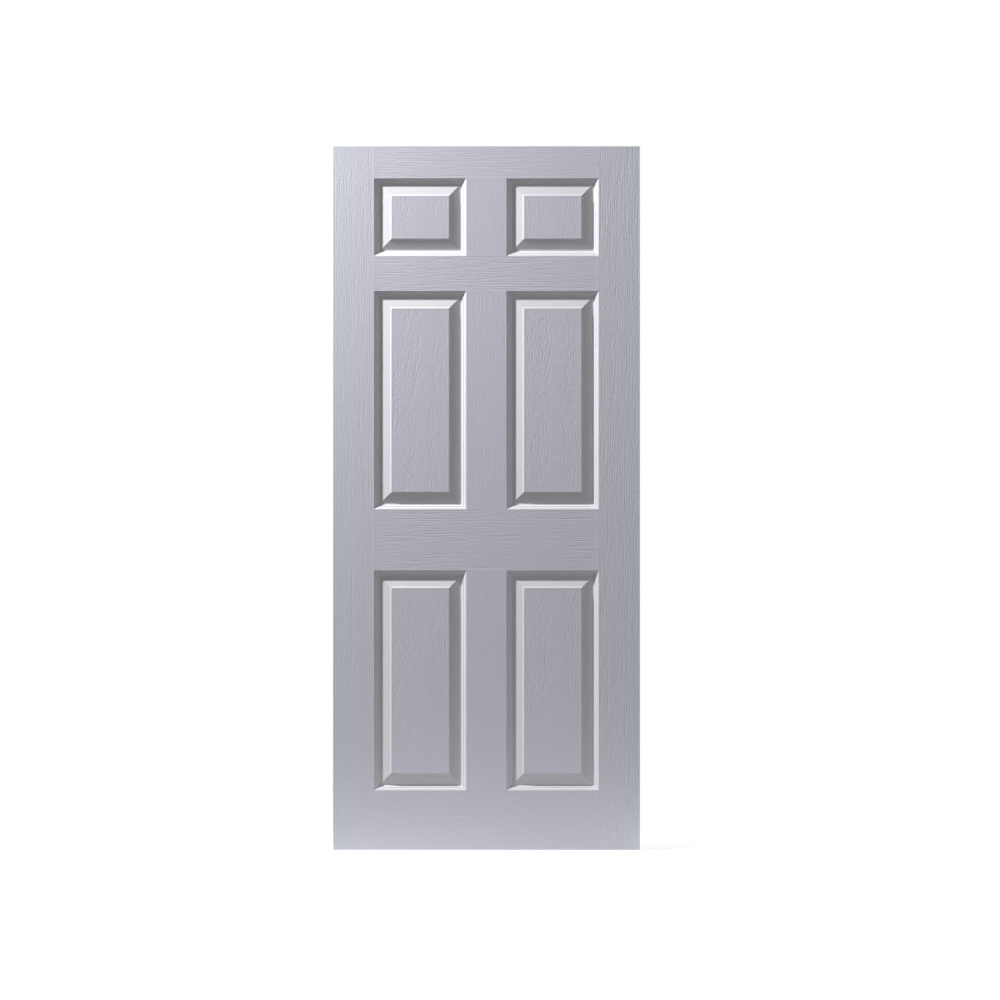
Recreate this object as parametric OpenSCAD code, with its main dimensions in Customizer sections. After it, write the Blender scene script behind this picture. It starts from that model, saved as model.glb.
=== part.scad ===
// Six-panel door leaf with pressed fibreboard skins.
// Two identical skins are glued over a softwood frame, two lock blocks and pads of paper honeycomb.
// The leaf stands on its bottom edge: X runs across it, Y through its thickness, Z up.
// The front faces -Y, and the origin is the middle of the bottom edge. Sizes are in millimetres.

/* [Leaf] */
// Width of the leaf
leaf_w = 864; // [740:1:1000]
// Height of the leaf
leaf_h = 1981; // [1900:1:2150]
// Thickness of the leaf over both skins
leaf_t = 35; // [33:0.5:54]

/* [Panel layout] */
// Width of each stile on the face, from the leaf's edge to the panels
stile_w = 115; // [110:1:140]
// Width of the mullions between the panels of a pair
mullion_w = 112; // [60:1:150]
// Height of the top rail on the face
top_rail_h = 90; // [60:1:130]
// Height of the top pair of panels
top_panel_h = 220; // [160:1:300]
// Height of the frieze rail under the top pair
frieze_rail_h = 97; // [60:1:140]
// Height of the middle pair of panels
middle_panel_h = 616; // [450:1:700]
// Height of the lock rail under the middle pair
lock_rail_h = 171; // [100:1:240]
// Height of the bottom rail on the face
bottom_rail_h = 167; // [90:1:260]

/* [Pressed moulding] */
// Thickness of a skin
skin_t = 3.2; // [2.6:0.1:4]
// Depth of the groove below the face
groove_d = 10.2; // [7:0.1:11]
// Width of the groove's flat bottom
groove_w = 2; // [1:0.5:6]
// Width of the ovolo, the round edge that leads down from the face
ovolo_w = 7; // [5:0.1:9]
// Drop of the ovolo
ovolo_d = 4; // [2:0.1:5]
// Slope at which the ovolo leaves the face, in degrees
ovolo_lead = 16; // [0:1:20]
// Drop of the quirk, the small step under the ovolo
quirk_d = 1.1; // [0.6:0.1:1.6]
// Width of the quirk, which leaves draft for the press
quirk_w = 0.5; // [0.3:0.1:1.5]
// Width of the flat fillet under the quirk
fillet_w = 2.5; // [1:0.1:4]
// Width of the cove that runs from the fillet into the groove
cove_w = 7; // [5:0.1:10]
// Width of the bevel that rises from the groove
bevel_w = 27; // [18:0.5:34]
// Width of the round shoulder at the raised field's edge
shoulder_w = 5; // [4:0.1:10]
// Rise of the shoulder
shoulder_d = 2.2; // [1:0.1:3]
// Drop of the raised field below the face
field_d = 0.3; // [0:0.1:1.5]

/* [Frame] */
// Width of each frame stile
frame_stile_w = 32; // [25:1:40]
// Height of the frame's top rail
frame_top_h = 32; // [25:1:50]
// Height of the frame's bottom rail
frame_bottom_h = 60; // [28:1:80]
// Width of each lock block
lock_block_w = 74; // [50:1:76]
// Height of each lock block
lock_block_h = 420; // [250:1:600]
// Height of the lock blocks' lower end above the leaf's bottom edge
lock_block_z = 760; // [650:1:850]

/* [Staples] */
// Width of a staple over both legs
staple_w = 14; // [10:0.5:20]
// Length of a staple's legs, its crown included
staple_leg = 11; // [8:0.5:13]
// Thickness of the staple wire
staple_wire = 1.4; // [1:0.1:1.8]

/* [Paper core] */
// Width of a cell, as near as the pad allows
cell_w = 32; // [20:1:60]
// Length of a pair of cells along the ribbons, as near as the pad allows
cell_l = 108; // [60:1:180]
// Thickness of the paper
paper_t = 0.8; // [0.4:0.1:1.2]
// Thickness of the glue between two ribbons
glue_t = 0.1; // [0.05:0.05:0.3]
// Gap round each pad
pad_gap = 3; // [1:0.5:8]

/* [Hidden] */
arc_steps = 5;
// How far a cutting solid reaches past what it cuts
reach = 5;

cavity_t = leaf_t - 2 * skin_t;
field_cavity_t = cavity_t - 2 * field_d;
sticking_w = ovolo_w + quirk_w + fillet_w + cove_w;
moulding_w = sticking_w + groove_w + bevel_w + shoulder_w;

panel_w = (leaf_w - 2 * stile_w - mullion_w) / 2;
bottom_panel_h = leaf_h - top_rail_h - top_panel_h - frieze_rail_h - middle_panel_h - lock_rail_h - bottom_rail_h;
middle_panel_z = bottom_rail_h + bottom_panel_h + lock_rail_h;
top_panel_z = middle_panel_z + middle_panel_h + frieze_rail_h;

panel_columns = [-mullion_w / 2 - panel_w, mullion_w / 2];
panel_rows = [[bottom_rail_h, bottom_panel_h], [middle_panel_z, middle_panel_h], [top_panel_z, top_panel_h]];

frame_rail_w = leaf_w - 2 * frame_stile_w;
frame_top_z = leaf_h - frame_top_h;
joint_x = frame_rail_w / 2;

lock_block_top_z = lock_block_z + lock_block_h;
stile_zone_w = stile_w - frame_stile_w;
rail_zone_w = leaf_w - 2 * stile_w;

// A round that leaves [0, 0] at the lead slope and falls to [w, -d]
function round_points(w, d, lead = 0) =
    let (end = 2 * atan(d / w) - lead, r = w / (sin(end) - sin(lead)))
    [
        for (i = [0:arc_steps])
            let (a = lead + (end - lead) * i / arc_steps) r * [sin(a) - sin(lead), cos(a) - cos(lead)]
    ];

function reversed(list) = [for (i = [len(list) - 1:-1:0]) list[i]];
function shifted(list, by) = [for (p = list) p + by];

// A hollow that falls from [0, 0] and ends level at [w, -d]
function hollow_points(w, d) = [for (p = reversed(round_points(w, d))) [w - p[0], -d - p[1]]];

// A round that rises by d over a width w and ends level at the given point
function rise_points(w, d, end) = [for (p = reversed(round_points(w, d))) [end[0] - p[0], end[1] + p[1]]];

// The moulding's section, from the flat face inwards, with depth as -Y.
// The sticking falls from the face to the groove, and the raised part climbs from there to the field.
fillet_d = ovolo_d + quirk_d;
sticking_line = concat(
    round_points(ovolo_w, ovolo_d, ovolo_lead),
    [[ovolo_w + quirk_w, -fillet_d]],
    shifted(hollow_points(cove_w, groove_d - fillet_d), [sticking_w - cove_w, -fillet_d])
);
raised_line = concat(
    [[sticking_w + groove_w, -groove_d]],
    rise_points(shoulder_w, shoulder_d, [moulding_w, -field_d])
);

// A section that stands on both sides of a width w, closed at height y
function both_sides(line, w, y) = concat(
    [[line[0][0], y]],
    line,
    [for (p = reversed(line)) [w - p[0], p[1]]],
    [[w - line[0][0], y]]
);

// The section run along X and along Y over a panel from the origin; the two meet in mitres
module mitred_run(line, w, h, y) {
    intersection() {
        translate([0, h + reach, 0]) rotate([90, 0, 0])
            linear_extrude(h + 2 * reach) polygon(both_sides(line, w, y));
        translate([-reach, 0, 0]) rotate([90, 0, 90])
            linear_extrude(w + 2 * reach) polygon(both_sides(line, h, y));
    }
}

// What the press takes out of a flat face for one panel with its lower left corner at the origin
module panel_hollow(w, h) {
    difference() {
        mitred_run(sticking_line, w, h, reach);
        mitred_run(raised_line, w, h, -groove_d - reach);
    }
}

// Puts a copy of its children at the lower left corner of each panel; $panel_h is that panel's height
module each_panel() {
    for (x = panel_columns, row = panel_rows) {
        $panel_h = row[1];
        translate([x, row[0]]) children();
    }
}

// Half the leaf as a solid block lying on its back, with its pressed face at Z = 0
module pressed_block(margin) {
    difference() {
        translate([-leaf_w / 2 - margin, -margin, -leaf_t / 2 - margin])
            cube([leaf_w + 2 * margin, leaf_h + 2 * margin, leaf_t / 2 + margin]);
        each_panel() panel_hollow(panel_w, $panel_h);
    }
}

// A skin lying flat: the pressed block less the same block one skin thickness deeper
module flat_skin() {
    difference() {
        pressed_block(0);
        translate([0, 0, -skin_t]) pressed_block(reach);
    }
}

module front_skin() {
    color("whitesmoke") translate([0, -leaf_t / 2, 0]) rotate([90, 0, 0]) flat_skin();
}

module back_skin() {
    rotate(180) front_skin();
}

// One staple across a joint at X = 0, driven along +Y from a crown that is flush with Y = 0
module staple() {
    translate([0, 0, -staple_wire / 2]) linear_extrude(staple_wire) difference() {
        translate([-staple_w / 2, 0]) square([staple_w, staple_leg]);
        translate([-staple_w / 2 + staple_wire, staple_wire])
            square([staple_w - 2 * staple_wire, staple_leg]);
    }
}

// The staples of one side of the leaf, on both faces of the top and bottom joints
module joint_staples(side) {
    for (z = [frame_bottom_h / 2, leaf_h - frame_top_h / 2], turn = [0, 180])
        translate([side * joint_x, 0, z]) rotate(turn) translate([0, -cavity_t / 2, 0]) staple();
}

module corner_staples() {
    color("silver") for (side = [-1, 1]) joint_staples(side);
}

// A frame stile; side is -1 for the left one and 1 for the right one
module frame_stile(side) {
    color("burlywood") difference() {
        translate([side * (joint_x + frame_stile_w / 2) - frame_stile_w / 2, -cavity_t / 2, 0])
            cube([frame_stile_w, cavity_t, leaf_h]);
        joint_staples(side);
    }
}

module left_stile() {
    frame_stile(-1);
}

module right_stile() {
    frame_stile(1);
}

// A frame rail that butts between the stiles
module frame_rail(z, h) {
    color("burlywood") difference() {
        translate([-joint_x, -cavity_t / 2, z]) cube([frame_rail_w, cavity_t, h]);
        for (side = [-1, 1]) joint_staples(side);
    }
}

module top_rail() {
    frame_rail(frame_top_z, frame_top_h);
}

module bottom_rail() {
    frame_rail(0, frame_bottom_h);
}

// A block for the lock case, glued to the inside of a stile
module lock_block(side) {
    color("burlywood")
        translate([side * (joint_x - lock_block_w / 2) - lock_block_w / 2, -cavity_t / 2, lock_block_z])
            cube([lock_block_w, cavity_t, lock_block_h]);
}

module left_lock_block() {
    lock_block(-1);
}

module right_lock_block() {
    lock_block(1);
}

// A paper ribbon that runs along +Y and waves to one side and back once in each period
module paper_ribbon(wave, period, repeats) {
    sixths = [[0, 1], [wave, 2], [wave, 4], [0, 5]];
    side = concat(
        [[0, 0]],
        [for (i = [0:repeats - 1], p = sixths) [p[0], (i + p[1] / 6) * period]],
        [[0, repeats * period]]
    );
    polygon(concat(side, shifted(reversed(side), [paper_t, 0])));
}

// Ribbons along +Y that fill a rectangle from the origin, every other one turned over, about Z = 0
module ribbons(w, h, t) {
    count = max(1, round(w / cell_w));
    pitch = (w + glue_t) / count;
    ribbon_w = pitch - glue_t;
    repeats = max(1, round(h / cell_l));
    linear_extrude(t, center = true) for (i = [0:count - 1])
        translate([i * pitch + (i % 2) * ribbon_w, 0]) mirror([i % 2, 0])
            paper_ribbon(ribbon_w - paper_t, h / repeats, repeats);
}

// A pad of honeycomb inside a zone from the origin, with its ribbons along the zone's longer side
module core_pad(zone_w, zone_h, t) {
    w = zone_w - 2 * pad_gap;
    h = zone_h - 2 * pad_gap;
    translate([pad_gap, pad_gap]) {
        if (w > h) translate([w, 0]) rotate(90) ribbons(h, w, t);
        else ribbons(w, h, t);
    }
}

// Pads beside a stile, above and below its lock block
module stile_pads(side) {
    x = side * (joint_x - stile_zone_w / 2) - stile_zone_w / 2;
    for (zone = [[frame_bottom_h, lock_block_z], [lock_block_top_z, frame_top_z]])
        translate([x, zone[0]]) core_pad(stile_zone_w, zone[1] - zone[0], cavity_t);
}

// Pads behind the rails of the face
module rail_pads() {
    zones = [
        [frame_bottom_h, bottom_rail_h],
        [bottom_rail_h + bottom_panel_h, middle_panel_z],
        [middle_panel_z + middle_panel_h, top_panel_z],
        [top_panel_z + top_panel_h, frame_top_z]
    ];
    for (zone = zones)
        translate([-rail_zone_w / 2, zone[0]]) core_pad(rail_zone_w, zone[1] - zone[0], cavity_t);
}

// Pads behind the mullions
module mullion_pads() {
    for (row = panel_rows)
        translate([-mullion_w / 2, row[0]]) core_pad(mullion_w, row[1], cavity_t);
}

// Pads behind the raised fields
module field_pads() {
    each_panel() translate([moulding_w, moulding_w])
        core_pad(panel_w - 2 * moulding_w, $panel_h - 2 * moulding_w, field_cavity_t);
}

module paper_core() {
    color("tan") rotate([90, 0, 0]) {
        for (side = [-1, 1]) stile_pads(side);
        rail_pads();
        mullion_pads();
        field_pads();
    }
}

front_skin();
back_skin();
left_stile();
right_stile();
top_rail();
bottom_rail();
left_lock_block();
right_lock_block();
paper_core();
corner_staples();
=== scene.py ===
"""Looks of a six-panel door leaf: embossed fibreboard skins, bare softwood edges and a studio for them."""

import math

import bpy
from mathutils import Matrix, Vector


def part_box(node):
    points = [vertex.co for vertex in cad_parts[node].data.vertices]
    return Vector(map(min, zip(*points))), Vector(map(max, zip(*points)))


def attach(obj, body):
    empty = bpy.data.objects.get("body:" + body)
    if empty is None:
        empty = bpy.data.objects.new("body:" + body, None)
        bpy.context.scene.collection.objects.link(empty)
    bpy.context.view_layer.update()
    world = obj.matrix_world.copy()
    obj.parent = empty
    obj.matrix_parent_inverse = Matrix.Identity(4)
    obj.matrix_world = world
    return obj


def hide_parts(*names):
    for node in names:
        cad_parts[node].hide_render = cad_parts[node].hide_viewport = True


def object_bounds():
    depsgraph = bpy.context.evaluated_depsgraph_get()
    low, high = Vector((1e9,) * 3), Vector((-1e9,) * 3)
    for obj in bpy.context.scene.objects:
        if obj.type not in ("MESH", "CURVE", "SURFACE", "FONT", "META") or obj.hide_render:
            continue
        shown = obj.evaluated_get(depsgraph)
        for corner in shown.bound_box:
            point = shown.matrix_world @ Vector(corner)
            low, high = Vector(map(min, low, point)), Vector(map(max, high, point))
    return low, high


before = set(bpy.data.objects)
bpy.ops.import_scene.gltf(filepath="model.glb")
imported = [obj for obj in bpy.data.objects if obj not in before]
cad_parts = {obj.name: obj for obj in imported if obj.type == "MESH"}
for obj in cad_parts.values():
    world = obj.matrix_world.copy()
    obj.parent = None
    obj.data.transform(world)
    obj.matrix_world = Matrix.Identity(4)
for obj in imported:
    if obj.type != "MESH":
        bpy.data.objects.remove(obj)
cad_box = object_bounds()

MM = 0.001
SNAP_DIGITS = 5

# Leaf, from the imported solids
LEAF_LOW, LEAF_HIGH = (Vector(corner) for corner in cad_box)
LEAF_W = LEAF_HIGH.x - LEAF_LOW.x
LEAF_T = LEAF_HIGH.y - LEAF_LOW.y
LEAF_H = LEAF_HIGH.z - LEAF_LOW.z
EDGE_X = LEAF_W / 2

# Panel layout
PANELS_PER_ROW = 2
STILE_W = 115 * MM
MULLION_W = 112 * MM
TOP_RAIL_H = 90 * MM
TOP_PANEL_H = 220 * MM
FRIEZE_RAIL_H = 97 * MM
MIDDLE_PANEL_H = 616 * MM
LOCK_RAIL_H = 171 * MM
BOTTOM_RAIL_H = 167 * MM

# Pressed moulding: widths across the section, depths below the face and how its corners are softened
SKIN_T = 3.2 * MM
OVOLO_W = 7.0 * MM
OVOLO_D = 4.0 * MM
OVOLO_LEAD = math.radians(16)
QUIRK_W = 0.5 * MM
QUIRK_D = 1.1 * MM
FILLET_W = 2.5 * MM
COVE_W = 7.0 * MM
GROOVE_W = 2.0 * MM
GROOVE_D = 10.2 * MM
BEVEL_W = 27.0 * MM
SHOULDER_W = 5.0 * MM
SHOULDER_D = 2.2 * MM
FIELD_D = 0.3 * MM
CURVE_STEPS = 8
SOFT_CUT = 0.7 * MM
SOFT_SHARE = 0.45
SOFT_STEPS = 3
EASED_EDGE = 0.6 * MM

# Spacing of the mesh, fine across the grain and long along it, with one cell to a zone on the inside
ACROSS_STEP = 1.3 * MM
ALONG_STEP = 20 * MM
FIELD_ACROSS_STEP = 1.4 * MM
FIELD_ALONG_STEP = 5 * MM
COARSE_STEP = 10.0
RIM_ROW = 0.4 * MM
LONG_FLAT = 1.5 * MM
FADE_W = 2.5 * MM

# How hard the grain is pressed into each kind of zone: stiles from left to right, rails and fields upwards
STILE_PRESS = (0.92, 1.12)
RAIL_PRESS = (0.6, 1.0, 1.25, 1.0)
MULLION_PRESS = 0.72
FIELD_PRESS = (1.0, 0.95, 0.85)


def pairs(values):
    """Each value with the one after it."""
    return zip(values, values[1:])


def curve_points(width, drop, lead=0.0):
    """A round that leaves (0, 0) at the lead slope and falls to (width, drop)."""
    end = 2 * math.atan(drop / width) - lead
    radius = width / (math.sin(end) - math.sin(lead))
    angles = [lead + (end - lead) * i / CURVE_STEPS for i in range(CURVE_STEPS + 1)]
    return [
        (radius * (math.sin(a) - math.sin(lead)), radius * (math.cos(lead) - math.cos(a))) for a in angles
    ]


def moulding_line():
    """Section of the moulding from the flat face in to the raised field, and which points are corners."""
    cove_drop = GROOVE_D - OVOLO_D - QUIRK_D
    cove = [(COVE_W - s, cove_drop - d) for s, d in reversed(curve_points(COVE_W, cove_drop))]
    shoulder = [(SHOULDER_W - s, d - SHOULDER_D) for s, d in reversed(curve_points(SHOULDER_W, SHOULDER_D))]
    runs = (
        curve_points(OVOLO_W, OVOLO_D, OVOLO_LEAD)[1:],
        [(QUIRK_W, QUIRK_D)],
        [(FILLET_W, 0.0)],
        cove[1:],
        [(GROOVE_W, 0.0)],
        [(BEVEL_W, FIELD_D + SHOULDER_D - GROOVE_D)],
        shoulder[1:],
    )
    line = [Vector((0.0, 0.0))]
    corners = set()
    for run in runs:
        start = line[-1]
        line += [start + Vector(point) for point in run]
        corners.add(len(line) - 1)
    return line, corners


def softened(line, corners):
    """The same section with its corners rounded, as a pressed sheet has them."""
    result = []
    for i, corner in enumerate(line):
        if i not in corners or i == len(line) - 1:
            result.append(corner)
            continue
        back = line[i - 1] - corner
        ahead = line[i + 1] - corner
        cut = min(SOFT_CUT, SOFT_SHARE * back.length, SOFT_SHARE * ahead.length)
        start = corner + back.normalized() * cut
        end = corner + ahead.normalized() * cut
        for j in range(SOFT_STEPS + 1):
            t = j / SOFT_STEPS
            result.append(start * (1 - t) ** 2 + corner * 2 * t * (1 - t) + end * t ** 2)
    return result


def supported(line):
    """Adds a point near both ends of each long flat, so that smooth shading leaves it flat."""
    result = [line[0]]
    for start, end in pairs(line):
        if (end - start).length > LONG_FLAT:
            step = (end - start).normalized() * RIM_ROW
            result += [start + step, end - step]
        result.append(end)
    return result


PLAIN_SECTION, SECTION_CORNERS = moulding_line()
SOFT_SECTION = supported(softened(PLAIN_SECTION, SECTION_CORNERS))
EDGE_SECTION = [Vector((EASED_EDGE - s, d)) for s, d in reversed(curve_points(EASED_EDGE, EASED_EDGE))]
MOULDING_W = PLAIN_SECTION[-1].x


def panel_boxes():
    """(x0, z0, x1, z1) of each panel, its moulding included."""
    bottom_panel_h = LEAF_H - sum((
        TOP_RAIL_H, TOP_PANEL_H, FRIEZE_RAIL_H, MIDDLE_PANEL_H, LOCK_RAIL_H, BOTTOM_RAIL_H
    ))
    middle_z = BOTTOM_RAIL_H + bottom_panel_h + LOCK_RAIL_H
    top_z = middle_z + MIDDLE_PANEL_H + FRIEZE_RAIL_H
    rows = [(BOTTOM_RAIL_H, bottom_panel_h), (middle_z, MIDDLE_PANEL_H), (top_z, TOP_PANEL_H)]
    columns = [(-EDGE_X + STILE_W, -MULLION_W / 2), (MULLION_W / 2, EDGE_X - STILE_W)]
    return [(x0, z, x1, z + h) for z, h in rows for x0, x1 in columns]


def face_zones(rim):
    """The flat parts of the face as (box, grain runs up, press), like the timbers of a joined door."""
    panels = panel_boxes()
    rail_x = EDGE_X - STILE_W
    side, low, high = EDGE_X - rim, rim, LEAF_H - rim
    zones = [
        ((-side, low, -rail_x, high), True, STILE_PRESS[0]),
        ((rail_x, low, side, high), True, STILE_PRESS[1]),
    ]
    rows = sorted({(z0, z1) for _, z0, _, z1 in panels})
    rail_starts = [low] + [z1 for _, z1 in rows]
    rail_ends = [z0 for z0, _ in rows] + [high]
    zones += [
        ((-rail_x, z0, rail_x, z1), False, press)
        for z0, z1, press in zip(rail_starts, rail_ends, RAIL_PRESS)
    ]
    zones += [((-MULLION_W / 2, z0, MULLION_W / 2, z1), True, MULLION_PRESS) for z0, z1 in rows]
    return zones


def inset(box, by):
    """The box with each side moved in by the same amount."""
    x0, z0, x1, z1 = box
    return x0 + by, z0 + by, x1 - by, z1 - by


def rows_between(start, end, step):
    """Even rows from start to end, with one more row close to each end if there are any between."""
    count = max(1, round((end - start) / step))
    rows = [start + (end - start) * i / count for i in range(count + 1)]
    if count > 1:
        rows[1:1] = [start + RIM_ROW]
        rows[-1:-1] = [end - RIM_ROW]
    return [round(row, SNAP_DIGITS) for row in rows]


class Surface:
    """One side of a skin, built of zones and mouldings that share the points on their borders."""

    def __init__(self, mesh_lists, depth, flip):
        self.lists = mesh_lists
        self.depth = depth
        self.flip = flip
        self.index = {}
        self.on_x = {}
        self.on_z = {}

    def mark(self, x, z):
        """Notes a point that lies on a border, so that the neighbours there use it too."""
        self.on_x.setdefault(x, set()).add(z)
        self.on_z.setdefault(z, set()).add(x)

    def mark_box(self, xs, zs):
        """Notes all the points round a zone."""
        for x in xs:
            self.mark(x, zs[0])
            self.mark(x, zs[-1])
        for z in zs:
            self.mark(xs[0], z)
            self.mark(xs[-1], z)

    def edge(self, start, end):
        """The border points from start to end, along X or Z, without the end itself."""
        (x0, z0), (x1, z1) = start, end
        if x0 == x1:
            low, high = sorted((z0, z1))
            inner = sorted(z for z in self.on_x.get(x0, ()) if low < z < high)
            found = [(x0, z) for z in inner]
            backwards = z1 < z0
        else:
            low, high = sorted((x0, x1))
            inner = sorted(x for x in self.on_z.get(z0, ()) if low < x < high)
            found = [(x, z0) for x in inner]
            backwards = x1 < x0
        return [start] + (found[::-1] if backwards else found)

    def vertex(self, place, depth, grain=(0, 0, 0), press=0.0, figure=0.0, flat=0.0):
        """The number of the point at a place, which is made with its grain when first asked for."""
        if place not in self.index:
            self.index[place] = len(self.lists["points"])
            x, z = place
            self.lists["points"].append((x, -LEAF_T / 2 + self.depth + depth, z))
            self.lists["grain"].append(grain)
            self.lists["press"].append(press)
            self.lists["figure"].append(figure)
            self.lists["flat"].append(flat)
        return self.index[place]

    def face(self, corners, raw):
        """A face through these points; raw ones show bare board."""
        self.lists["faces"].append(corners[::-1] if self.flip else corners)
        self.lists["raw"].append(raw)

    def zone(self, box, runs_up, depth, number, steps, figure, strength, raw):
        """A flat zone as a grid; its border cells take in the neighbours' points."""
        x0, z0, x1, z1 = (round(v, SNAP_DIGITS) for v in box)
        across, along = steps
        xs = rows_between(x0, x1, across if runs_up else along)
        zs = rows_between(z0, z1, along if runs_up else across)
        middle_x = (x0 + x1) / 2
        middle_z = (z0 + z1) / 2

        def at(place):
            x, z = place
            rim = min(x - x0, x1 - x, z - z0, z1 - z)
            press = strength * min(1.0, rim / FADE_W)
            grain = (x - middle_x, z - z0, number) if runs_up else (z - middle_z, x - x0, number)
            return self.vertex(place, depth, grain, press, figure, 1.0)

        for i, (xa, xb) in enumerate(pairs(xs)):
            for j, (za, zb) in enumerate(pairs(zs)):
                corners = [(xa, za), (xb, za), (xb, zb), (xa, zb)]
                if i in (0, len(xs) - 2) or j in (0, len(zs) - 2):
                    ends = corners[1:] + corners[:1]
                    corners = [p for a, b in zip(corners, ends) for p in self.edge(a, b)]
                self.face([at(p) for p in corners], raw)

    def moulding(self, box, section, raw):
        """Four mitred sides round a panel, one strip for each step of the section."""
        rims = [tuple(round(v, SNAP_DIGITS) for v in inset(box, s)) for s, _ in section]
        for (outer, inner), (depth_a, depth_b) in zip(pairs(rims), pairs([d for _, d in section])):
            for side in range(4):
                start, end = rim_side(outer, side)
                back, forth = rim_side(inner, side)
                outer_run = [self.vertex(p, depth_a) for p in self.edge(start, end) + [end]]
                inner_run = [self.vertex(p, depth_b) for p in self.edge(forth, back) + [back]]
                self.face(outer_run + inner_run, raw)


def rim_side(box, side):
    """Start and end of one side of a box, going round it anticlockwise from its lower left corner."""
    x0, z0, x1, z1 = box
    corners = [(x0, z0), (x1, z0), (x1, z1), (x0, z1)]
    return corners[side], corners[(side + 1) % 4]


def add_surface(mesh_lists, section, depth, flip, rim, steps, field_steps, raw):
    """Builds one side of a skin, up to a rim round its outline, and returns it."""
    surface = Surface(mesh_lists, depth, flip)
    panels = panel_boxes()
    # Each zone: box, whether the grain runs up, depth, mesh steps, how figured it is, press
    zones = [(box, up, 0.0, steps, 0.0, press) for box, up, press in face_zones(rim)]
    for i, box in enumerate(panels):
        press = FIELD_PRESS[i // PANELS_PER_ROW]
        zones.append((inset(box, MOULDING_W), True, FIELD_D, field_steps, 1.0, press))
    for box, up, _, (across, along), _, _ in zones:
        x0, z0, x1, z1 = (round(v, SNAP_DIGITS) for v in box)
        surface.mark_box(
            rows_between(x0, x1, across if up else along), rows_between(z0, z1, along if up else across)
        )
    for number, (box, up, zone_depth, zone_steps, figure, press) in enumerate(zones):
        surface.zone(box, up, zone_depth, number, zone_steps, figure, press, raw)
    for box in panels:
        surface.moulding(box, section, raw)
    return surface


def sheet_object(name):
    """A closed skin before its grain is pressed: face, inside and the four cut edges."""
    lists = {"points": [], "grain": [], "press": [], "figure": [], "flat": [], "faces": [], "raw": []}
    fine = (ACROSS_STEP, ALONG_STEP)
    field = (FIELD_ACROSS_STEP, FIELD_ALONG_STEP)
    coarse = (COARSE_STEP, COARSE_STEP)
    face = add_surface(lists, SOFT_SECTION, 0.0, False, EASED_EDGE, fine, field, False)
    inside = add_surface(lists, PLAIN_SECTION, SKIN_T, True, 0.0, coarse, coarse, True)
    outline = tuple(round(v, SNAP_DIGITS) for v in (-EDGE_X, 0, EDGE_X, LEAF_H))
    face.moulding(outline, EDGE_SECTION, False)
    for side in range(4):
        start, end = rim_side(outline, side)
        face_run = [face.index[p] for p in face.edge(start, end) + [end]]
        inside_run = [inside.index[p] for p in inside.edge(end, start) + [start]]
        face.face(face_run[::-1] + inside_run[::-1], True)
    mesh = bpy.data.meshes.new(name)
    mesh.from_pydata(lists["points"], [], lists["faces"])
    layers = (
        ("grain", "FLOAT_VECTOR", "POINT", "vector"), ("press", "FLOAT", "POINT", "value"),
        ("figure", "FLOAT", "POINT", "value"), ("flat", "FLOAT", "POINT", "value"),
        ("raw", "BOOLEAN", "FACE", "value"),
    )
    for layer, kind, domain, field_name in layers:
        attribute = mesh.attributes.new(layer, kind, domain)
        values = lists[layer]
        if kind == "FLOAT_VECTOR":
            values = [number for vector in values for number in vector]
        attribute.data.foreach_set(field_name, values)
    mesh.shade_smooth()
    piece = bpy.data.objects.new(name, mesh)
    bpy.context.scene.collection.objects.link(piece)
    return piece


def add_node(tree, kind, inputs=None, **settings):
    """A node with its settings; each input is linked if it is a socket and set if it is a value."""
    node = tree.nodes.new(kind)
    for key, value in settings.items():
        setattr(node, key, value)
    for key, value in (inputs or {}).items():
        if isinstance(value, bpy.types.NodeSocket):
            tree.links.new(value, node.inputs[key])
        else:
            node.inputs[key].default_value = value
    return node


def math_node(tree, operation, a, b=0.0):
    """What an operation makes of one or two values."""
    return add_node(tree, "ShaderNodeMath", {0: a, 1: b}, operation=operation).outputs[0]


def scaled(tree, value, low, high, to_low=0.0, to_high=1.0, smooth=True):
    """Maps low..high to to_low..to_high, held at both ends."""
    kind = "SMOOTHSTEP" if smooth else "LINEAR"
    inputs = {0: value, 1: low, 2: high, 3: to_low, 4: to_high}
    return add_node(tree, "ShaderNodeMapRange", inputs, interpolation_type=kind).outputs[0]


def hypotenuse(tree, a, b):
    """The long side of a right triangle with sides a and b."""
    squares = [math_node(tree, "POWER", side, 2.0) for side in (a, b)]
    return math_node(tree, "SQRT", math_node(tree, "ADD", *squares))


def from_middle(tree, value):
    """A noise or a draw, which lies between 0 and 1, as its distance from the middle."""
    return math_node(tree, "SUBTRACT", value, NOISE_MIDDLE)


def vector_of(tree, x, y, z):
    """Three values as one vector."""
    return add_node(tree, "ShaderNodeCombineXYZ", {0: x, 1: y, 2: z}).outputs[0]


def parts_of(tree, vector):
    """The three values of a vector."""
    return add_node(tree, "ShaderNodeSeparateXYZ", {0: vector}).outputs


def noise(tree, vector, scale=1.0, detail=2.0, roughness=0.5):
    """Soft noise between 0 and 1."""
    inputs = {"Vector": vector, "Scale": scale, "Detail": detail, "Roughness": roughness}
    return add_node(tree, "ShaderNodeTexNoise", inputs).outputs[0]


def stretched(tree, across, along, number, width, length):
    """A place for noise whose spots are about width across the grain and length along it."""
    return vector_of(
        tree, math_node(tree, "DIVIDE", across, width), math_node(tree, "DIVIDE", along, length), number
    )


def named_attribute(tree, name, kind):
    """A value that the mesh carries under a name."""
    node = add_node(tree, "GeometryNodeInputNamedAttribute", {"Name": name}, data_type=kind)
    return node.outputs["Attribute"]


# Noise: its middle, and the range that most of it lies in
NOISE_MIDDLE = 0.5
NOISE_RANGE = (0.3, 0.7)

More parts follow.
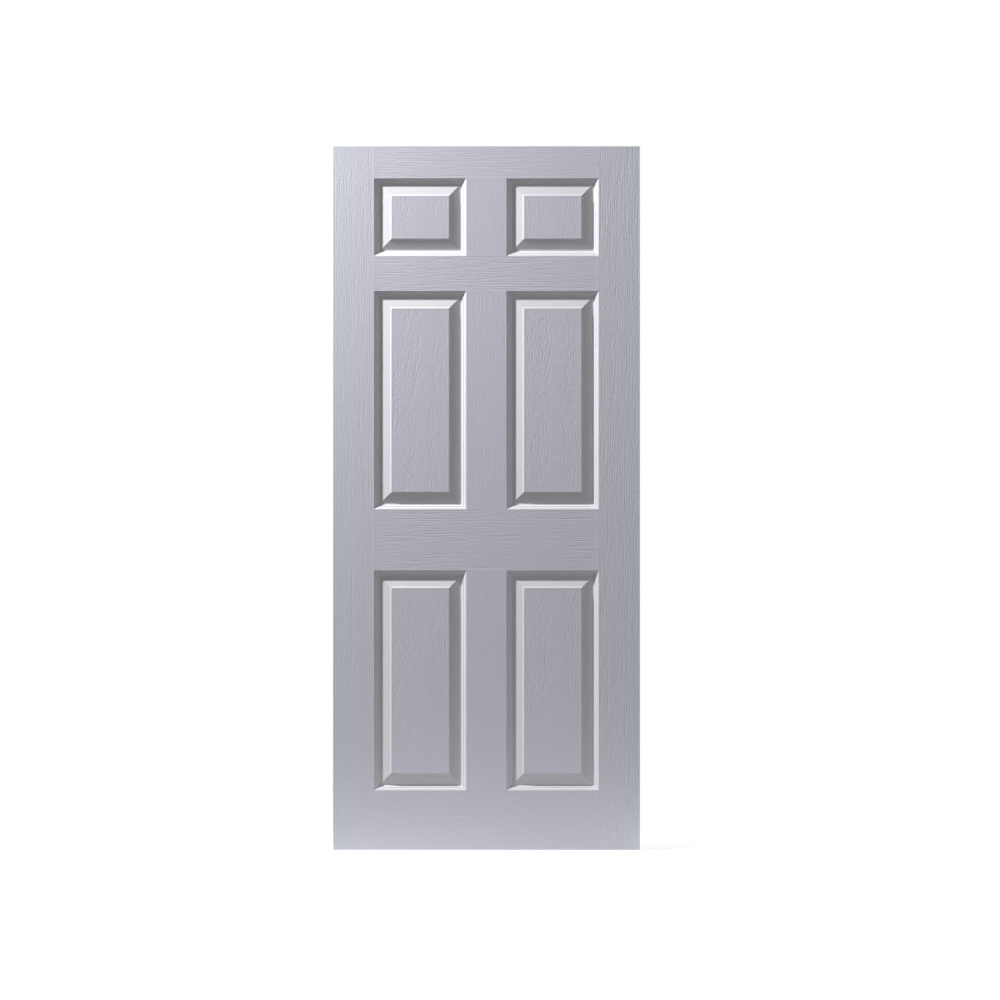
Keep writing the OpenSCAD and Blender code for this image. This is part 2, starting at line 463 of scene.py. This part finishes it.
# Pressed grain: the tree's inputs, and how the raised fields differ from the rest
GRAIN_INPUTS = {
    "Groove depth": 0.38 * MM,
    "Groove spacing": 7.0 * MM,
    "Groove length": 30 * MM,
    "Stroke length": 20 * MM,
    "Patch width": 34 * MM,
    "Patch length": 170 * MM,
    "Wander": 10 * MM,
    "Arch lean": 0.15,
    "Axis lean": 0.04,
    "Arch round": 20 * MM,
    "Calm band": 24 * MM,
    "Sharp angle": math.radians(32),
}
GRAIN_SEEDS = {"front_skin": 2.0, "back_skin": 41.0}
FIELD_WANDER = 3.2
FIELD_LENGTH = 0.6
CALM_SHARE = 0.65
CALM_FADE = (0.4, 1.2)

# Marks of the grain: slow drift, forks in groove spacings and turns, broken strokes and firmer patches
DRIFT_SIZE = (90 * MM, 190 * MM)
FORK_WIDTH = 2.5
FORK_REACH = 1.6
STROKE_RANGE = (0.38, 0.58)
PATCH_PRESS = (0.4, 1.1)

# Steps through the noise, so that zones, strokes and patches don't repeat each other
ZONE_STEP = 7.31
STROKE_STEP = 1.9
PATCH_STEP = 3.7

# Edges whose run in X times their run in Z is more than this lie on a mitre
MITRE_SLANT = 1e-9


def fibre_lines(tree, given, across, along, number, figure):
    """The distance across the fibres, which arch on the raised fields, and how calm a field's axis is."""
    drift_place = stretched(tree, across, along, number, *DRIFT_SIZE)
    drift = from_middle(tree, noise(tree, drift_place, detail=1.0))
    wider = scaled(tree, figure, 0.0, 1.0, 1.0, FIELD_WANDER)
    reach = math_node(tree, "MULTIPLY", given["Wander"], wider)
    straight = math_node(tree, "ADD", across, math_node(tree, "MULTIPLY", drift, reach))
    rise = math_node(tree, "MULTIPLY", along, given["Arch lean"])
    axis = math_node(tree, "MULTIPLY", along, given["Axis lean"])
    from_axis = math_node(tree, "SUBTRACT", straight, axis)
    arched = math_node(tree, "ADD", hypotenuse(tree, from_axis, given["Arch round"]), rise)
    bend = math_node(tree, "MULTIPLY", figure, math_node(tree, "SUBTRACT", arched, straight))
    fibre = math_node(tree, "ADD", straight, bend)
    off_axis = math_node(tree, "DIVIDE", math_node(tree, "ABSOLUTE", from_axis), given["Calm band"])
    calm = math_node(tree, "MULTIPLY", figure, scaled(tree, off_axis, *CALM_FADE, CALM_SHARE, 0.0))
    return fibre, calm


def groove_depth(tree, given, fibre, along, number, figure):
    """Depth of the grooves: forked waves across the fibres, broken into strokes and firmer in patches."""
    spacing = given["Groove spacing"]
    shorter = scaled(tree, figure, 0.0, 1.0, 1.0, FIELD_LENGTH)
    fork_width = math_node(tree, "MULTIPLY", spacing, FORK_WIDTH)
    fork_length = math_node(tree, "MULTIPLY", given["Groove length"], shorter)
    fork_place = stretched(tree, fibre, along, number, fork_width, fork_length)
    forks = math_node(tree, "MULTIPLY", noise(tree, fork_place, detail=1.0), FORK_REACH)
    turns = math_node(tree, "ADD", math_node(tree, "DIVIDE", fibre, spacing), forks)
    wave = math_node(tree, "SINE", math_node(tree, "MULTIPLY", turns, 2 * math.pi))
    grooves = scaled(tree, wave, -1.0, 1.0, smooth=False)
    stroke_number = math_node(tree, "ADD", number, STROKE_STEP)
    stroke_length = math_node(tree, "MULTIPLY", given["Stroke length"], shorter)
    stroke_place = stretched(tree, fibre, along, stroke_number, spacing, stroke_length)
    strokes = scaled(tree, noise(tree, stroke_place, detail=1.0), *STROKE_RANGE)
    patch_number = math_node(tree, "ADD", number, PATCH_STEP)
    patch_place = stretched(tree, fibre, along, patch_number, given["Patch width"], given["Patch length"])
    patches = scaled(tree, noise(tree, patch_place, detail=1.0), *NOISE_RANGE, *PATCH_PRESS)
    shape = math_node(tree, "MULTIPLY", math_node(tree, "MULTIPLY", grooves, strokes), patches)
    return math_node(tree, "MULTIPLY", given["Groove depth"], shape)


def crisp_edges(tree, given):
    """Picks the edges that are shaded crisp: mitres and tight folds."""
    ends = add_node(tree, "GeometryNodeInputMeshEdgeVertices").outputs
    run = add_node(
        tree, "ShaderNodeVectorMath", {0: ends["Position 1"], 1: ends["Position 2"]}, operation="SUBTRACT"
    )
    run_x, _, run_z = parts_of(tree, run.outputs[0])
    slant = math_node(tree, "ABSOLUTE", math_node(tree, "MULTIPLY", run_x, run_z))
    mitre = math_node(tree, "GREATER_THAN", slant, MITRE_SLANT)
    fold = add_node(tree, "GeometryNodeInputMeshEdgeAngle").outputs["Unsigned Angle"]
    return math_node(tree, "MAXIMUM", mitre, math_node(tree, "GREATER_THAN", fold, given["Sharp angle"]))


def kept_on_points(tree, geometry, name, kind, value):
    """The geometry with a value kept on its points, for the primer to read."""
    inputs = {"Geometry": geometry, "Name": name, "Value": value}
    return add_node(
        tree, "GeometryNodeStoreNamedAttribute", inputs, data_type=kind, domain="POINT"
    ).outputs[0]


def grain_tree():
    """Presses wood grain into a skin, and gives it its paint and its bare edges."""
    tree = bpy.data.node_groups.new("pressed_grain", "GeometryNodeTree")
    kinds = {"Geometry": "Geometry"}
    kinds.update({label: "Float" for label in GRAIN_INPUTS})
    kinds.update({"Seed": "Float", "Paint": "Material", "Raw board": "Material"})
    for label, kind in kinds.items():
        tree.interface.new_socket(label, in_out="INPUT", socket_type=f"NodeSocket{kind}")
    tree.interface.new_socket("Geometry", in_out="OUTPUT", socket_type="NodeSocketGeometry")
    given = add_node(tree, "NodeGroupInput").outputs
    across, along, zone = parts_of(tree, named_attribute(tree, "grain", "FLOAT_VECTOR"))
    figure = named_attribute(tree, "figure", "FLOAT")
    number = math_node(tree, "ADD", math_node(tree, "MULTIPLY", zone, ZONE_STEP), given["Seed"])
    fibre, calm = fibre_lines(tree, given, across, along, number, figure)
    lively = math_node(tree, "SUBTRACT", 1.0, calm)
    press = math_node(tree, "MULTIPLY", named_attribute(tree, "press", "FLOAT"), lively)
    depth = groove_depth(tree, given, fibre, along, number, figure)
    offset = vector_of(tree, 0.0, math_node(tree, "MULTIPLY", depth, press), 0.0)
    pressed = add_node(tree, "GeometryNodeSetPosition", {"Geometry": given["Geometry"], "Offset": offset})
    fibre_place = vector_of(tree, fibre, along, number)
    marked = kept_on_points(tree, pressed.outputs[0], "fibre", "FLOAT_VECTOR", fibre_place)
    marked = kept_on_points(tree, marked, "press", "FLOAT", press)
    creased = add_node(
        tree, "GeometryNodeSetShadeSmooth",
        {"Geometry": marked, "Selection": crisp_edges(tree, given), "Shade Smooth": False}, domain="EDGE",
    )
    real = add_node(tree, "GeometryNodeRealizeInstances", {"Geometry": creased.outputs[0]})
    painted = add_node(
        tree, "GeometryNodeSetMaterial", {"Geometry": real.outputs[0], "Material": given["Paint"]}
    )
    cut = add_node(
        tree, "GeometryNodeSetMaterial",
        {"Geometry": painted.outputs[0], "Selection": named_attribute(tree, "raw", "BOOLEAN"),
         "Material": given["Raw board"]},
    )
    add_node(tree, "NodeGroupOutput", {"Geometry": cut.outputs[0]})
    return tree


def run_tree(piece, tree, values):
    """Runs a geometry tree on a piece and keeps the result as a plain mesh."""
    modifier = piece.modifiers.new("grain", "NODES")
    modifier.node_group = tree
    for item in tree.interface.items_tree:
        if item.in_out == "INPUT" and item.name in values:
            modifier[item.identifier] = values[item.name]
    bpy.context.view_layer.update()
    evaluated = piece.evaluated_get(bpy.context.evaluated_depsgraph_get())
    mesh = bpy.data.meshes.new_from_object(evaluated)
    piece.modifiers.remove(modifier)
    old = piece.data
    piece.data = mesh
    bpy.data.meshes.remove(old)
    mesh.name = piece.name


# Colours, in linear light
PRIMER_FLAT = (0.80, 0.78, 0.885)
PRIMER_COOL = (0.775, 0.80, 0.88)
PRIMER_MOULDING = (0.81, 0.805, 0.85)
BOARD_DARK = (0.17, 0.105, 0.06)
BOARD_PALE = (0.34, 0.225, 0.135)
PINE_PALE = (0.60, 0.42, 0.235)
PINE_DARK = (0.40, 0.235, 0.10)
KRAFT_DARK = (0.30, 0.20, 0.12)
KRAFT_PALE = (0.48, 0.34, 0.21)
ZINC_DARK = (0.46, 0.47, 0.49)
ZINC_PALE = (0.68, 0.69, 0.70)

# Primer: the flat faces turn cooler towards the leaf's long edges, in soft clouds
COOL_FADE = (0.34, 0.44)
CLOUD_SCALE = 9.0
CLOUD_REACH = 0.05
GLOSS_SCALE = 60.0
PRIMER_ROUGHNESS = (0.51, 0.55)

# Fine relief of the primer: pores and broken strokes by their size (across, along) the grain
# and their range of noise, the strokes' depth and the spray's depth as shares of a pore's
PORE_SIZE = (0.9 * MM, 22 * MM)
PORE_RANGE = (0.5, 0.72)
# Painted shade in the pores: the primer's colour there is multiplied down to this
PORE_PAINTED_SHADE = 0.965
TICK_SIZE = (3.0 * MM, 12 * MM)
TICK_RANGE = (0.38, 0.62)
TICK_DEPTH = 2.2
SPRAY_SCALE = 1400.0
SPRAY_DEPTH = 0.12
PRIMER_RELIEF = 0.045 * MM

# Softwood: growth rings, which darken over their late part, fibres and finger joints
RING_WIDTH = 2.8 * MM
RING_SWAY = 9 * MM
SWAY_SIZE = (60 * MM, 240 * MM)
PITH_REACH = 0.11
LATE_RISE = (0.35, 0.85)
LATE_END = (1.0, 0.93)
LATE_RELIEF = 0.5
PINE_FIBRE_SIZE = (0.5 * MM, 18 * MM)
PINE_FIBRE_RANGE = (0.25, 0.75)
PINE_FIBRE_TONE = (0.9, 1.06)
PINE_RELIEF = 0.12 * MM
PINE_SEED_STEP = 20.0
BLOCK_LENGTH = 0.43
FINGER_PITCH = 4.0 * MM
FINGER_LENGTH = 9.0 * MM
GLUE_LINE = 0.5 * MM
GLUE_TONE = 0.62
BLOCK_TONE = (0.86, 1.08)

# Bare fibreboard, kraft paper and zinc-coated wire
SPECK_SCALE = 900.0
BOARD_RELIEF = 0.2 * MM
PAPER_FIBRE_SCALE = 420.0
PAPER_RELIEF = 0.1 * MM
SPANGLE_SCALE = 1600.0
ZINC_ROUGHNESS = (0.28, 0.48)


def new_material(name, **settings):
    """A node material with one Principled shader, its constant values set on the shader itself."""
    material = bpy.data.materials.new(name)
    material.use_nodes = True
    tree = material.node_tree
    shader = tree.nodes["Principled BSDF"]
    for label, value in settings.items():
        shader.inputs[label.replace("_", " ")].default_value = value
    return material, tree, shader


def object_place(tree):
    """Where a point lies on the piece."""
    return add_node(tree, "ShaderNodeTexCoord").outputs["Object"]


def colour_between(tree, factor, low, high):
    """A colour that runs from low to high with the factor."""
    ramp = add_node(tree, "ShaderNodeValToRGB", {0: factor})
    ramp.color_ramp.elements[0].color = (*low, 1)
    ramp.color_ramp.elements[1].color = (*high, 1)
    return ramp.outputs[0]


def tinted(tree, colour, factor):
    """A colour times a brightness factor."""
    grey = add_node(tree, "ShaderNodeCombineColor", {0: factor, 1: factor, 2: factor}).outputs[0]
    inputs = {0: 1.0, 6: colour, 7: grey}
    return add_node(tree, "ShaderNodeMix", inputs, data_type="RGBA", blend_type="MULTIPLY").outputs[2]


def bump(tree, height, distance, shader):
    """Gives a shader fine relief."""
    inputs = {"Height": height, "Distance": distance}
    tree.links.new(add_node(tree, "ShaderNodeBump", inputs).outputs[0], shader.inputs["Normal"])


def primer_material():
    """Satin white primer over the pressed grain: slight clouding, fine pores with painted shade in them,
    and spray texture.
    """
    material, tree, shader = new_material("white_primer", IOR=1.46)
    place = object_place(tree)
    off_centre = math_node(tree, "ABSOLUTE", parts_of(tree, place)[0])
    clouds = math_node(tree, "MULTIPLY", noise(tree, place, CLOUD_SCALE, detail=3.0), CLOUD_REACH)
    to_edge = scaled(tree, math_node(tree, "ADD", off_centre, clouds), *COOL_FADE)
    flat_colour = colour_between(tree, to_edge, PRIMER_FLAT, PRIMER_COOL)
    flat = add_node(tree, "ShaderNodeAttribute", attribute_name="flat").outputs["Fac"]
    mix = {0: flat, 6: (*PRIMER_MOULDING, 1), 7: flat_colour}
    primer_colour = add_node(tree, "ShaderNodeMix", mix, data_type="RGBA").outputs[2]
    fibre = add_node(tree, "ShaderNodeAttribute", attribute_name="fibre").outputs["Vector"]
    across, along, number = parts_of(tree, fibre)
    pores = noise(tree, stretched(tree, across, along, number, *PORE_SIZE), detail=2.0)
    pits = scaled(tree, pores, *PORE_RANGE)
    breaks = noise(tree, stretched(tree, across, along, number, *TICK_SIZE), detail=1.0)
    ticks = scaled(tree, breaks, *TICK_RANGE)
    press = add_node(tree, "ShaderNodeAttribute", attribute_name="press").outputs["Fac"]
    strokes = math_node(tree, "ADD", pits, math_node(tree, "MULTIPLY", ticks, TICK_DEPTH))
    cuts = math_node(tree, "MULTIPLY", strokes, press)
    spray = math_node(tree, "MULTIPLY", noise(tree, place, SPRAY_SCALE), SPRAY_DEPTH)
    height = math_node(tree, "SUBTRACT", spray, cuts)
    # Painted shade: the primer's colour is darkened in the pores, standing in for the shadow inside them
    shade = scaled(tree, pits, 0.0, 1.0, 1.0, PORE_PAINTED_SHADE)
    tree.links.new(tinted(tree, primer_colour, shade), shader.inputs["Base Color"])
    rough = scaled(tree, noise(tree, place, GLOSS_SCALE), *NOISE_RANGE, *PRIMER_ROUGHNESS)
    tree.links.new(rough, shader.inputs["Roughness"])
    bump(tree, height, PRIMER_RELIEF, shader)
    return material


def board_material():
    """Raw pressed fibreboard, as at the cut edges of a skin."""
    material, tree, shader = new_material("raw_fibreboard", Roughness=0.85)
    specks = noise(tree, object_place(tree), SPECK_SCALE, detail=4.0, roughness=0.7)
    colour = colour_between(tree, scaled(tree, specks, *NOISE_RANGE), BOARD_DARK, BOARD_PALE)
    tree.links.new(colour, shader.inputs["Base Color"])
    bump(tree, specks, BOARD_RELIEF, shader)
    return material


def finger_blocks(tree, along, y, seed):
    """Blocks jointed end to end: the place along them, counted in blocks, and each block's own draw."""
    half_pitch = FINGER_PITCH / 2
    wave = math_node(tree, "PINGPONG", y, half_pitch)
    fingers = math_node(tree, "MULTIPLY", wave, FINGER_LENGTH / half_pitch)
    block_place = math_node(tree, "DIVIDE", math_node(tree, "ADD", along, fingers), BLOCK_LENGTH)
    return block_place, math_node(tree, "ADD", math_node(tree, "FLOOR", block_place), seed)


def late_wood(tree, across, y, along, draw, dice):
    """The dark part of the growth rings, about a heart that each block has in a place of its own."""
    pith_x = math_node(tree, "MULTIPLY", from_middle(tree, dice[0]), PITH_REACH)
    pith_y = math_node(tree, "MULTIPLY", from_middle(tree, dice[1]), PITH_REACH)
    drift = noise(tree, stretched(tree, across, along, draw, *SWAY_SIZE), detail=2.0)
    sway = math_node(tree, "MULTIPLY", from_middle(tree, drift), RING_SWAY)
    from_x = math_node(tree, "ADD", math_node(tree, "SUBTRACT", across, pith_x), sway)
    from_y = math_node(tree, "SUBTRACT", y, pith_y)
    radius = hypotenuse(tree, from_x, from_y)
    rings = math_node(tree, "FRACT", math_node(tree, "DIVIDE", radius, RING_WIDTH))
    return math_node(tree, "MULTIPLY", scaled(tree, rings, *LATE_RISE), scaled(tree, rings, *LATE_END))


def pine_material(node_name, seed):
    """Planed softwood with growth rings about hearts near the piece, finger-jointed along its length."""
    material, tree, shader = new_material(f"{node_name}_pine", Roughness=0.62)
    low, high = (Vector(corner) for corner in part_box(node_name))
    middle = (low + high) / 2
    upright = high.z - low.z > high.x - low.x
    x, y, z = parts_of(tree, object_place(tree))
    along = z if upright else x
    across = math_node(tree, "SUBTRACT", x if upright else z, middle.x if upright else middle.z)
    block_place, draw = finger_blocks(tree, along, y, seed)
    chance = add_node(tree, "ShaderNodeTexWhiteNoise", {"W": draw}, noise_dimensions="1D").outputs
    dice = parts_of(tree, chance["Color"])
    late = late_wood(tree, across, y, along, draw, dice)
    fibre_w, fibre_l = PINE_FIBRE_SIZE
    steps = ((across, fibre_w), (y, fibre_w), (along, fibre_l))
    fibre_place = vector_of(tree, *(math_node(tree, "DIVIDE", way, step) for way, step in steps))
    fibres = noise(tree, fibre_place, detail=3.0)
    wood = colour_between(tree, late, PINE_PALE, PINE_DARK)
    tone = scaled(tree, dice[2], 0.0, 1.0, *BLOCK_TONE, smooth=False)
    streak = scaled(tree, fibres, *PINE_FIBRE_RANGE, *PINE_FIBRE_TONE)
    in_block = math_node(tree, "FRACT", block_place)
    glue = scaled(tree, in_block, 0.0, GLUE_LINE / BLOCK_LENGTH, GLUE_TONE, 1.0)
    shade = math_node(tree, "MULTIPLY", math_node(tree, "MULTIPLY", tone, streak), glue)
    tree.links.new(tinted(tree, wood, shade), shader.inputs["Base Color"])
    height = math_node(tree, "ADD", math_node(tree, "MULTIPLY", late, LATE_RELIEF), fibres)
    bump(tree, height, PINE_RELIEF, shader)
    return material


def paper_material():
    """Kraft paper with long fibres."""
    material, tree, shader = new_material("kraft_paper", Roughness=0.8)
    fibres = noise(tree, object_place(tree), PAPER_FIBRE_SCALE, detail=5.0, roughness=0.65)
    colour = colour_between(tree, scaled(tree, fibres, *NOISE_RANGE), KRAFT_DARK, KRAFT_PALE)
    tree.links.new(colour, shader.inputs["Base Color"])
    bump(tree, fibres, PAPER_RELIEF, shader)
    return material


def wire_material():
    """Galvanised staple wire with a spangled, slightly worn coat."""
    material, tree, shader = new_material("galvanised_wire", Metallic=1.0)
    spangle = noise(tree, object_place(tree), SPANGLE_SCALE, detail=3.0)
    tree.links.new(colour_between(tree, spangle, ZINC_DARK, ZINC_PALE), shader.inputs["Base Color"])
    tree.links.new(scaled(tree, spangle, *NOISE_RANGE, *ZINC_ROUGHNESS), shader.inputs["Roughness"])
    return material


# The dressed leaf: embossed skins in place of the plain ones, and finishes on the other pieces
primer = primer_material()
raw_board = board_material()
grain = grain_tree()

for node_name, seed in GRAIN_SEEDS.items():
    skin = sheet_object(f"embossed_{node_name}")
    run_tree(skin, grain, {**GRAIN_INPUTS, "Seed": seed, "Paint": primer, "Raw board": raw_board})
    if node_name == "back_skin":
        skin.data.transform(Matrix.Rotation(math.pi, 4, "Z"))
    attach(skin, "root")
    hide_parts(node_name)

pine_nodes = ("left_stile", "right_stile", "left_lock_block", "right_lock_block", "top_rail", "bottom_rail")
node_materials = {name: pine_material(name, PINE_SEED_STEP * i) for i, name in enumerate(pine_nodes)}
node_materials["paper_core"] = paper_material()
node_materials["corner_staples"] = wire_material()
for node_name, material in node_materials.items():
    for material_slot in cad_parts[node_name].material_slots:
        material_slot.material = material

# Studio: white floor and background, a raking lamp in front, one behind, and soft fill from the right
WHITE = (1, 1, 1, 1)
FILL_COLOUR = (0.145, 0.145, 0.145)
LAMPS = {
    "key_lamp": {"place": (-2.49, -0.74, 3.8), "aim": (-0.48, -0.74, -0.22), "size": 0.2, "power": 230.0},
    "back_lamp": {"place": (2.3, 1.9, 2.5), "aim": (0.3, 0.0, 0.8), "size": 0.5, "power": 76.0},
    "side_lamp": {"place": (2.9, -1.7, 1.3), "aim": (0.3, 0.0, 0.8), "size": 1.2, "power": 7.0},
}

# Floor: a round that fades to plain white away from the leaf's plane and from its middle
FLOOR_RADIUS = 0.95
FLOOR_SIDES = 96
FLOOR_NEAR = (0.6, 0.6, 0.6)
FLOOR_FAR = (0.12, 0.12, 0.12)
FLOOR_STRIP = (0.15, 0.5)
FLOOR_RIM = (0.45, 0.9)
WHITE_NEAR = 0.58
WHITE_FAR = 1.0

# Camera: far off, so that the leaf's sides look upright and parallel
CAMERA_DISTANCE = 14.0
CAMERA_X = 0.038
CAMERA_Z = 0.985
VIEW_WIDTH = 2.815
SENSOR_W = 36.0


def white_rays(tree):
    """1 for rays that should see a white background: camera, glossy and transmission rays."""
    path = add_node(tree, "ShaderNodeLightPath").outputs
    seen = math_node(tree, "MAXIMUM", path["Is Camera Ray"], path["Is Glossy Ray"])
    return math_node(tree, "MAXIMUM", seen, path["Is Transmission Ray"])


def make_world():
    """Even grey fill light, seen as white."""
    world = bpy.data.worlds.new("studio")
    world.use_nodes = True
    tree = world.node_tree
    tree.nodes.clear()
    fill = add_node(tree, "ShaderNodeBackground", {"Color": (*FILL_COLOUR, 1), "Strength": 1.0})
    white = add_node(tree, "ShaderNodeBackground", {"Color": WHITE, "Strength": 1.0})
    sides = {0: white_rays(tree), 1: fill.outputs[0], 2: white.outputs[0]}
    mix = add_node(tree, "ShaderNodeMixShader", sides)
    add_node(tree, "ShaderNodeOutputWorld", {0: mix.outputs[0]})
    bpy.context.scene.world = world


def make_floor():
    """A floor that shows the leaf's shadow close by, and fades to plain white further out."""
    turns = [2 * math.pi * i / FLOOR_SIDES for i in range(FLOOR_SIDES)]
    rim = [(FLOOR_RADIUS * math.cos(a), FLOOR_RADIUS * math.sin(a), 0) for a in turns]
    mesh = bpy.data.meshes.new("floor")
    mesh.from_pydata(rim, [], [range(FLOOR_SIDES)])
    floor = bpy.data.objects.new("floor", mesh)
    bpy.context.scene.collection.objects.link(floor)
    material = bpy.data.materials.new("pale_floor")
    material.use_nodes = True
    tree = material.node_tree
    tree.nodes.clear()
    place = object_place(tree)
    distance = add_node(tree, "ShaderNodeVectorMath", {0: place}, operation="LENGTH").outputs["Value"]
    from_leaf = math_node(tree, "ABSOLUTE", parts_of(tree, place)[1])
    far = math_node(
        tree, "MAXIMUM", scaled(tree, from_leaf, *FLOOR_STRIP), scaled(tree, distance, *FLOOR_RIM)
    )
    white = scaled(tree, far, 0.0, 1.0, WHITE_NEAR, WHITE_FAR, smooth=False)
    strength = math_node(tree, "MULTIPLY", white, white_rays(tree))
    glow = add_node(tree, "ShaderNodeEmission", {"Color": WHITE, "Strength": strength})
    colour = colour_between(tree, far, FLOOR_NEAR, FLOOR_FAR)
    matt = add_node(tree, "ShaderNodeBsdfDiffuse", {"Color": colour})
    both = add_node(tree, "ShaderNodeAddShader", {0: glow.outputs[0], 1: matt.outputs[0]})
    add_node(tree, "ShaderNodeOutputMaterial", {0: both.outputs[0]})
    mesh.materials.append(material)


def make_lamp(name, place, aim, size, power):
    """A square lamp at a place, turned to what it lights."""
    light = bpy.data.lights.new(name, "AREA")
    light.shape = "SQUARE"
    light.size = size
    light.energy = power
    lamp = bpy.data.objects.new(name, light)
    lamp.location = place
    lamp.rotation_euler = (Vector(aim) - Vector(place)).to_track_quat("-Z", "Y").to_euler()
    lamp.visible_camera = False
    bpy.context.scene.collection.objects.link(lamp)


def make_camera():
    """A long lens straight in front of the leaf."""
    camera_data = bpy.data.cameras.new("camera")
    camera_data.sensor_width = SENSOR_W
    camera_data.lens = SENSOR_W * CAMERA_DISTANCE / VIEW_WIDTH
    camera = bpy.data.objects.new("camera", camera_data)
    camera.location = (CAMERA_X, -LEAF_T / 2 - CAMERA_DISTANCE, CAMERA_Z)
    camera.rotation_euler = (math.radians(90), 0, 0)
    bpy.context.scene.collection.objects.link(camera)
    bpy.context.scene.camera = camera


make_world()
make_floor()
for lamp_name, settings in LAMPS.items():
    make_lamp(lamp_name, **settings)
make_camera()
bpy.context.scene.view_settings.view_transform = "Standard"
